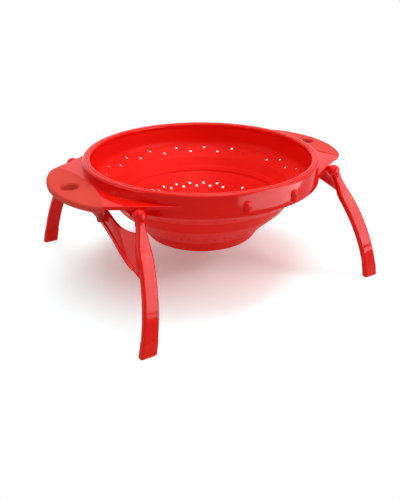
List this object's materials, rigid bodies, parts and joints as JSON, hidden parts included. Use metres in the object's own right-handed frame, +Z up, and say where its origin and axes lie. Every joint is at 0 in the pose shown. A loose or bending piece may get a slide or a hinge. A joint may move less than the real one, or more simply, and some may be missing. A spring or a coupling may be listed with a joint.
{
  "type": "collapsible colander with folding legs",
  "caption": "Round strainer with a collapsible soft bowl in a stiff rim, two side handles and two hinged leg pairs that fold round the rim.",
  "frame": {"origin": "on the ground under the middle of the bowl, midway between the four feet", "axes": "+X along the handles, +Y across them along the leg hinges, +Z up"},
  "size_m": [0.3308, 0.2744, 0.1272],
  "materials": {
    "rim_plastic": "glossy hard plastic",
    "leg_plastic": "glossy hard plastic",
    "bowl_silicone": "satin silicone",
    "soft_grip": "matte soft touch",
    "pin_steel": "turned steel"
  },
  "bodies": {
    "rim": {"rim_frame": "rim_plastic", "clamp_ring": "rim_plastic", "bowl_collar": "bowl_silicone", "bowl_upper_wall": "bowl_silicone", "left_grip": "soft_grip", "right_grip": "soft_grip", "left_front_hinge_pin": "pin_steel", "left_back_hinge_pin": "pin_steel", "right_front_hinge_pin": "pin_steel", "right_back_hinge_pin": "pin_steel", "left_front_stop_peg": "soft_grip", "left_back_stop_peg": "soft_grip", "right_front_stop_peg": "soft_grip", "right_back_stop_peg": "soft_grip"},
    "bowl_middle": {"bowl_middle_ring": "bowl_silicone", "bowl_lower_wall": "bowl_silicone"},
    "bowl_bottom": {"bowl_base": "bowl_silicone"},
    "left_legs": {"left_leg_frame": "leg_plastic", "left_front_foot_cap": "soft_grip", "left_back_foot_cap": "soft_grip"},
    "right_legs": {"right_leg_frame": "leg_plastic", "right_front_foot_cap": "soft_grip", "right_back_foot_cap": "soft_grip"}
  },
  "joints": [
    {"name": "left_leg_fold", "type": "hinge", "parent": "rim", "child": "left_legs", "pos_m": [-0.1145, 0, 0.11], "axis": [0, -1, 0], "range_deg": [0, 101.56]},
    {"name": "right_leg_fold", "type": "hinge", "parent": "rim", "child": "right_legs", "pos_m": [0.1145, 0, 0.11], "axis": [0, 1, 0], "range_deg": [0, 101.56]},
    {"name": "bowl_middle_lift", "type": "slide", "parent": "rim", "child": "bowl_middle", "axis": [0, 0, 1], "range_m": [0, 0.03], "deforming": ["bowl_upper_wall"]},
    {"name": "bowl_bottom_lift", "type": "slide", "parent": "bowl_middle", "child": "bowl_bottom", "axis": [0, 0, 1], "range_m": [0, 0.041], "deforming": ["bowl_lower_wall"]}
  ],
  "couplings": [
    {"joint": "right_leg_fold", "follows": "left_leg_fold", "ratio": 1},
    {"joint": "bowl_middle_lift", "follows": "left_leg_fold", "m_per_rad": 0.016924},
    {"joint": "bowl_bottom_lift", "follows": "left_leg_fold", "m_per_rad": 0.02313}
  ]
}
